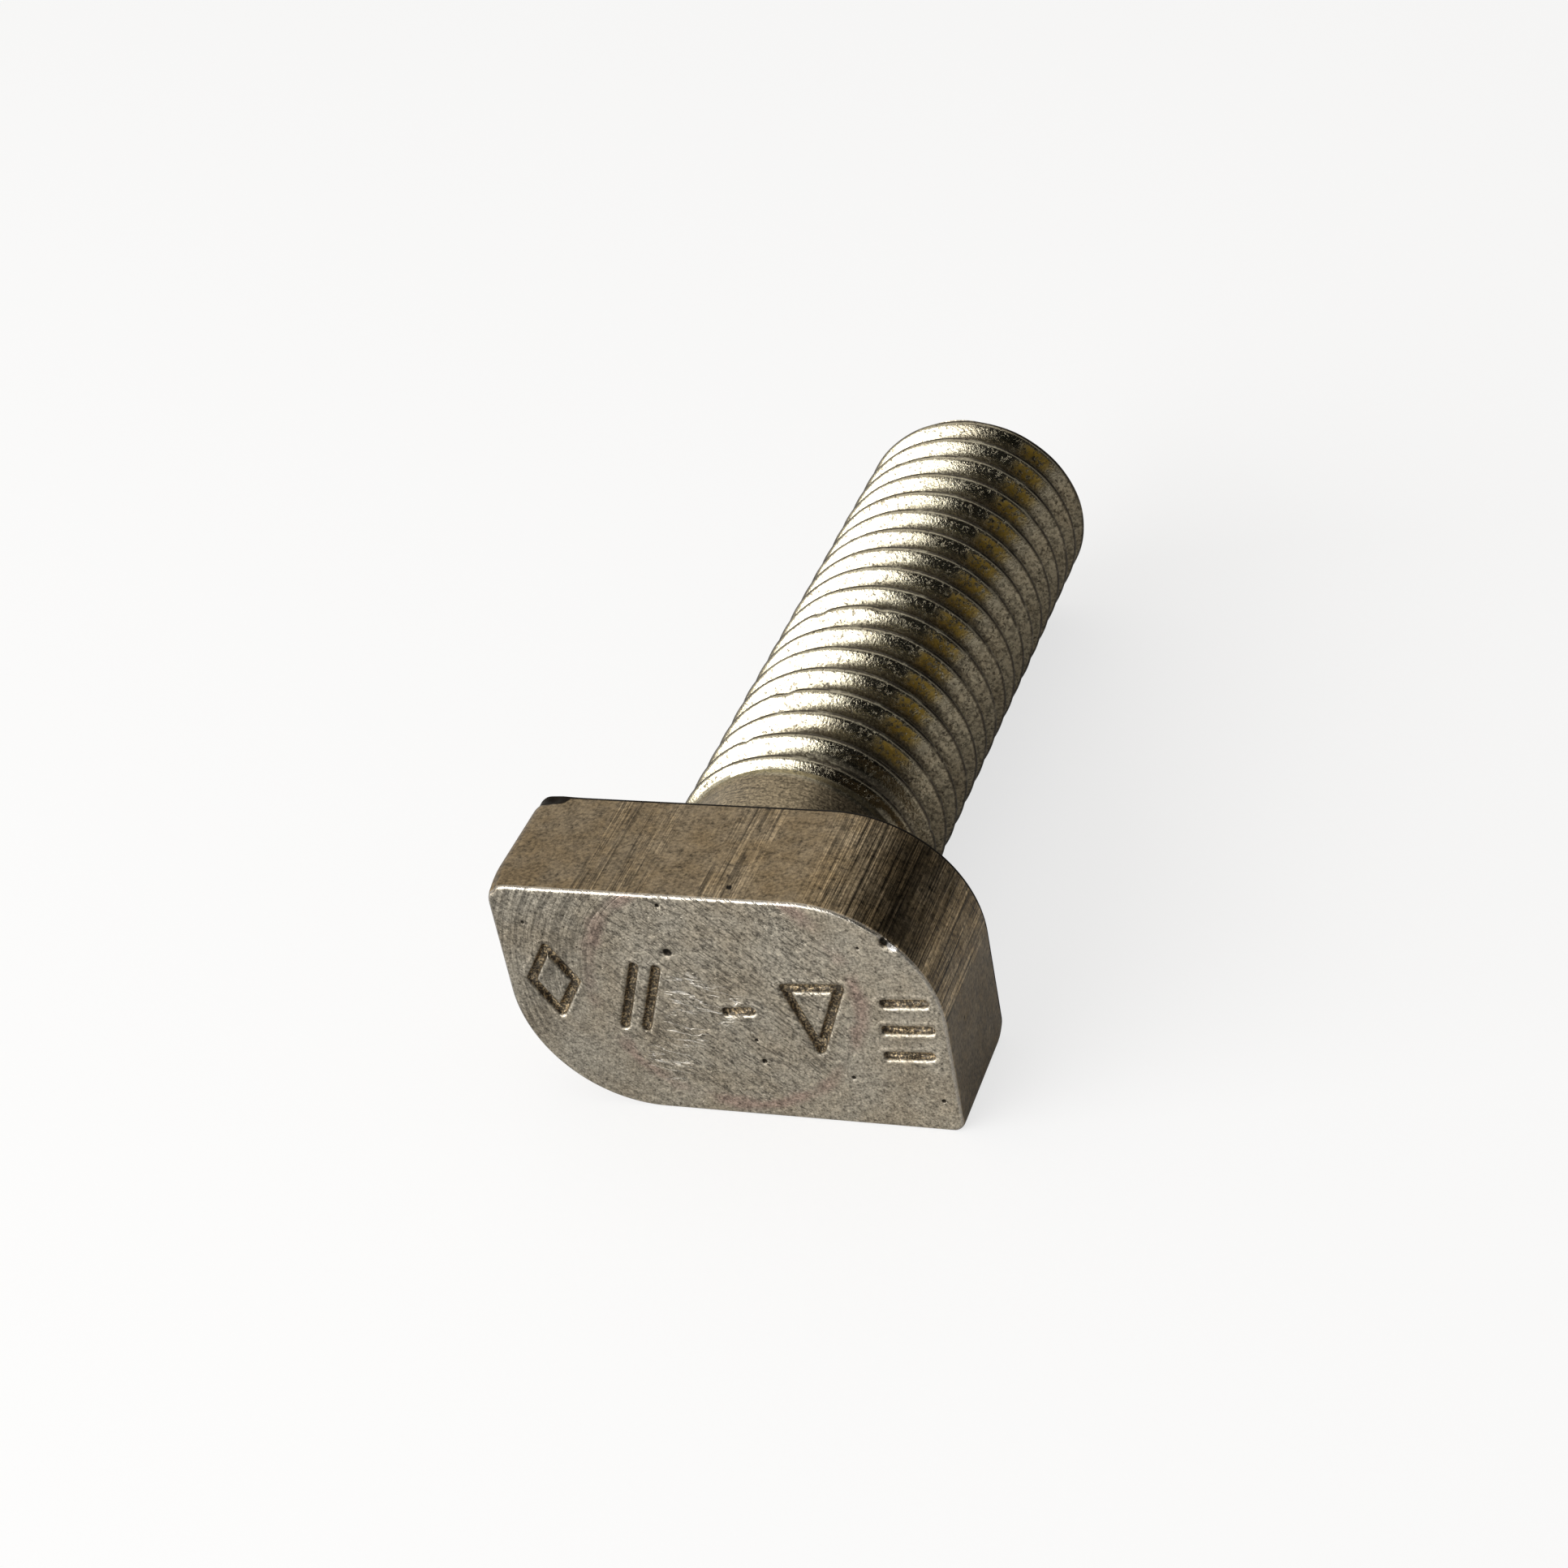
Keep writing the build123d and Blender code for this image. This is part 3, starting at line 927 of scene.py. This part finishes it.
def end_finish(finish):
    """Sheared end of the shank, drawn out in places and torn in others."""
    material, nodes = new_finish("sheared_end_steel")
    place = nodes.place_mm()
    grain = nodes.noise(place, 6.0, 4.0, 0.65)
    fine = nodes.noise(place, 11.0, 3.0, 0.7)
    cloud = nodes.noise(place, 0.9, 3.0)
    drawn = nodes.noise(nodes.stretched(place, (0.12, 1.0, 2.5), 23), 1.0, 3.0, 0.7)
    torn = nodes.step(nodes.noise(place, 0.45, 3.0, 0.6), 0.40, 0.64)
    base = nodes.blend(nodes.step(cloud, 0.35, 0.7) * 0.6, finish.face, finish.side)
    base = nodes.shade(base, grain * 1.4 + fine * 1.6 - 0.5)
    base = nodes.shade(base, (1.12 - nodes.step(drawn, 0.50, 0.66) * 0.5) - torn * 0.2)
    height = grain * 0.5 + drawn * (1.6 - torn) + torn * fine * 0.8
    set_steel(nodes, base, 0.36 + (grain - 0.5) * 0.2 + torn * 0.12, nodes.bump(height, 0.03))
    return material


class BOLT_OT_add_bolt(bpy.types.Operator):
    """Builds the bolt, from its punched head to the chamfered tip of its thread, in one closed piece"""

    bl_idname = "t_slot_bolt.add_bolt"
    bl_label = "Add Bolt"

    def execute(self, context):
        scene = context.scene
        shank, finish = millimetres(scene.bolt_shank), scene.bolt_finish
        mesh = bolt_mesh(millimetres(scene.bolt_head), shank)
        head_steels = outer_face_finish(finish), side_finish(finish)
        for steel in (*head_steels, shank_finish(finish, shank), end_finish(finish)):
            mesh.materials.append(steel)
        bolt = bpy.data.objects.new("forged_bolt", mesh)
        scene.collection.objects.link(bolt)
        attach(bolt, "root")
        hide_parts(NODE)
        return {"FINISHED"}


# Studio, in metres

CAMERA_PLACE = (0.041291, -0.087254, 0.069683)
CAMERA_TURN = (55.8891, 9.5087, 18.1135)
FLOOR_HALF = 3.0
KEY_LAMP = {"place": (-0.205, -0.240, 0.090), "target": (0.0, 0.01, 0.0), "width": 0.42, "height": 0.24}
FILL_LAMP = {"place": (0.05, 0.10, 0.45), "target": (0.0, 0.0, 0.0), "width": 0.40, "height": 0.40}
BEHIND_CAMERA = (0.32, -0.91, 0.26)
FAR_CORNER = (0.60, 0.75, 0.28)
WINDOW_SIDE = (-0.95, 0.05, 0.30)
WHITE = (1.0, 1.0, 1.0)


def add_floor(scene, settings):
    """Lays the pale floor under the head's lower side."""
    mesh = bpy.data.meshes.new("floor")
    corners = [(x * FLOOR_HALF, y * FLOOR_HALF, low.z) for x, y in ((-1, -1), (1, -1), (1, 1), (-1, 1))]
    mesh.from_pydata(corners, [], [(0, 1, 2, 3)])
    floor = bpy.data.objects.new("floor", mesh)
    scene.collection.objects.link(floor)
    material, nodes = new_finish("pale_floor")
    seen, mirrored, through = nodes.rays()
    dim = nodes.add("ShaderNodeBsdfDiffuse", {}, {"Color": settings.floor})
    pale = nodes.add("ShaderNodeBsdfDiffuse", {}, {"Color": settings.paper})
    paper = nodes.add("ShaderNodeMixShader", {}, {0: seen, 1: dim, 2: pale})
    white = nodes.add("ShaderNodeEmission", {}, {"Color": WHITE, "Strength": 1.0})
    lift = (seen + through) * settings.floor_lift + mirrored * 0.05
    surface = nodes.add("ShaderNodeMixShader", {}, {0: lift, 1: paper, 2: white})
    nodes.add("ShaderNodeOutputMaterial", {}, {"Surface": surface})
    mesh.materials.append(material)


def add_lamp(scene, name, place, target, width, height, power):
    """Adds a large soft lamp that looks at a point."""
    lamp = bpy.data.lights.new(name, "AREA")
    lamp.shape = "RECTANGLE"
    lamp.size, lamp.size_y = width, height
    lamp.energy = power
    holder = bpy.data.objects.new(name, lamp)
    holder.location = place
    holder.rotation_euler = (Vector(target) - Vector(place)).to_track_quat("-Z", "Y").to_euler()
    scene.collection.objects.link(holder)


def set_world(scene, settings):
    """White for the camera, and a studio for the steel, bright on the left and dark behind the camera."""
    world = bpy.data.worlds.new("studio")
    world.use_nodes = True
    world.node_tree.nodes.clear()
    scene.world = world
    nodes = Nodes(world.node_tree)
    direction = nodes.add("ShaderNodeTexCoord", output="Generated")
    dark = nodes.step(nodes.towards(direction, BEHIND_CAMERA), 0.68, 0.90)
    dusk = nodes.step(nodes.towards(direction, FAR_CORNER), 0.74, 0.94)
    open_air = (1 - dark * 0.97) * (1 - dusk * 0.88)
    level = (0.24 + nodes.step(nodes.towards(direction, WINDOW_SIDE), -0.5, 0.8) * 0.56) * open_air
    shine = nodes.add("ShaderNodeBackground", {}, {"Color": settings.window, "Strength": level})
    seen, mirrored, through = nodes.rays()
    white = nodes.add("ShaderNodeBackground", {}, {"Color": WHITE, "Strength": seen + (1 - seen) * open_air})
    share_of_white = seen + mirrored * 0.06 + through
    surface = nodes.add("ShaderNodeMixShader", {}, {0: share_of_white, 1: shine, 2: white})
    nodes.add("ShaderNodeOutputWorld", {}, {"Surface": surface})


class BOLT_OT_add_studio(bpy.types.Operator):
    """Lays the pale floor and sets the lamps, the white surroundings and the camera"""

    bl_idname = "t_slot_bolt.add_studio"
    bl_label = "Add Studio"

    def execute(self, context):
        scene = context.scene
        settings = scene.bolt_studio
        add_floor(scene, settings)
        add_lamp(scene, "key_lamp", power=settings.key_power, **KEY_LAMP)
        add_lamp(scene, "fill_lamp", power=settings.fill_power, **FILL_LAMP)
        set_world(scene, settings)
        camera = bpy.data.cameras.new("camera")
        camera.lens = settings.lens
        camera.sensor_width = 36.0
        camera.clip_start = 0.005
        camera.clip_end = 20.0
        holder = bpy.data.objects.new("camera", camera)
        holder.location = CAMERA_PLACE
        holder.rotation_euler = [math.radians(turn) for turn in CAMERA_TURN]
        scene.collection.objects.link(holder)
        scene.camera = holder
        scene.view_settings.view_transform = "Standard"
        return {"FINISHED"}


class BOLT_PT_panel(bpy.types.Panel):
    """Lists the bolt's pieces, sizes and colours"""

    bl_idname = "BOLT_PT_panel"
    bl_label = "T Slot Bolt"
    bl_space_type = "VIEW_3D"
    bl_region_type = "UI"
    bl_category = "T Slot Bolt"

    def draw(self, context):
        for operator in OPERATORS:
            self.layout.operator(operator.bl_idname)
        for name in GROUPS:
            group = getattr(context.scene, name)
            box = self.layout.box()
            for item in group.__annotations__:
                box.prop(group, item)


GROUPS = {
    "bolt_head": HeadSizes,
    "bolt_shank": ShankSizes,
    "bolt_finish": SteelFinish,
    "bolt_studio": StudioSettings,
}
OPERATORS = (BOLT_OT_add_studio, BOLT_OT_add_bolt)


def register():
    for group in (*GROUPS.values(), *OPERATORS, BOLT_PT_panel):
        bpy.utils.register_class(group)
    for name, group in GROUPS.items():
        setattr(bpy.types.Scene, name, PointerProperty(type=group))


def unregister():
    for name in GROUPS:
        delattr(bpy.types.Scene, name)
    for group in (BOLT_PT_panel, *OPERATORS, *GROUPS.values()):
        bpy.utils.unregister_class(group)


def main():
    register()
    bpy.ops.t_slot_bolt.add_studio()
    bpy.ops.t_slot_bolt.add_bolt()


if __name__ == "__main__":
    main()
